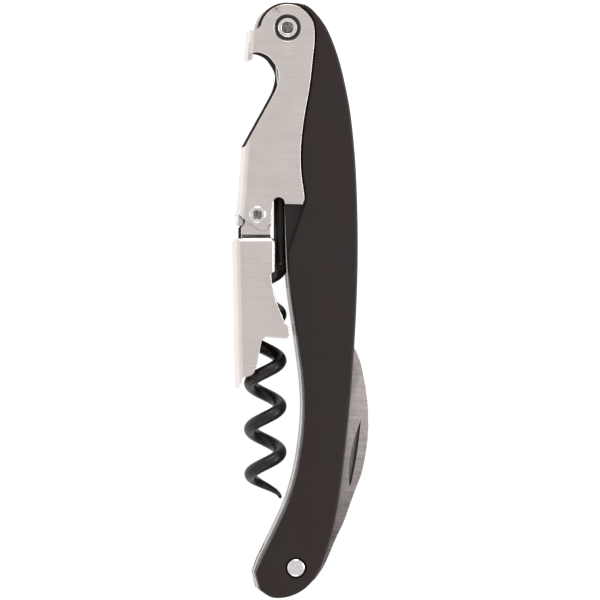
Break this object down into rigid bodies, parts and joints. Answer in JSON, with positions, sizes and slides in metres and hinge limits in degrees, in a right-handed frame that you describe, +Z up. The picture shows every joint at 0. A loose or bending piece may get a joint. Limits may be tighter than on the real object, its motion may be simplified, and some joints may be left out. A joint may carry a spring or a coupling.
{
  "type": "waiters corkscrew",
  "caption": "Folding waiter's corkscrew with a two-step lever, crown-cap opener, swing-out worm and foil knife in a black covered handle.",
  "frame": {"origin": "middle of the folded tool's box, on the surface that it lies on", "axes": "+Y along the handle towards the head, +X across it towards the knife's side, +Z up through its thickness"},
  "size_m": [0.0272, 0.1192, 0.012],
  "materials": {
    "cover": "soft satin black-brown plastic",
    "lever_steel": "stainless sheet brushed across its length, bright cut edges",
    "liner_steel": "plain stainless sheet",
    "spring_steel": "hardened spring steel",
    "blade_steel": "ground across the blade",
    "rivet_steel": "polished rivet heads",
    "worm_coating": "black low-friction coating over steel wire",
    "brass": "turned"
  },
  "bodies": {
    "handle": {"front_cover": "cover", "rear_cover": "cover", "front_liner": "liner_steel", "rear_liner": "liner_steel", "back_spring": "spring_steel", "spring_rivets": "rivet_steel", "spine_spacer": "spring_steel", "spine_rivets": "rivet_steel", "head_bush": "brass", "head_rivet": "rivet_steel", "worm_pin": "rivet_steel", "front_knife_washer": "brass", "rear_knife_washer": "brass", "tail_rivet": "rivet_steel"},
    "lever": {"upper_lever": "lever_steel", "knuckle_rivet": "rivet_steel", "knuckle_bush": "brass"},
    "lower_step": {"lower_lever": "lever_steel"},
    "worm": {"worm": "worm_coating"},
    "knife": {"knife_blade": "blade_steel"}
  },
  "joints": [
    {"name": "lever_swing", "type": "hinge", "parent": "handle", "child": "lever", "pos_m": [-0.00321, 0.05454, 0.006], "axis": [0, 0, -1], "range_deg": [0, 95]},
    {"name": "knuckle_swing", "type": "hinge", "parent": "lever", "child": "lower_step", "pos_m": [-0.00932, 0.01708, 0.006], "axis": [0, 0, -1], "range_deg": [0, 30]},
    {"name": "worm_swing", "type": "hinge", "parent": "handle", "child": "worm", "pos_m": [-0.00133, 0.02244, 0.006], "axis": [0, 0, -1], "range_deg": [0, 95]},
    {"name": "knife_swing", "type": "hinge", "parent": "handle", "child": "knife", "pos_m": [-0.00155, -0.05357, 0.006], "axis": [0, 0, -1], "range_deg": [0, 170]}
  ],
  "couplings": [
    {"joint": "worm_swing", "follows": "lever_swing", "ratio": 1}
  ]
}
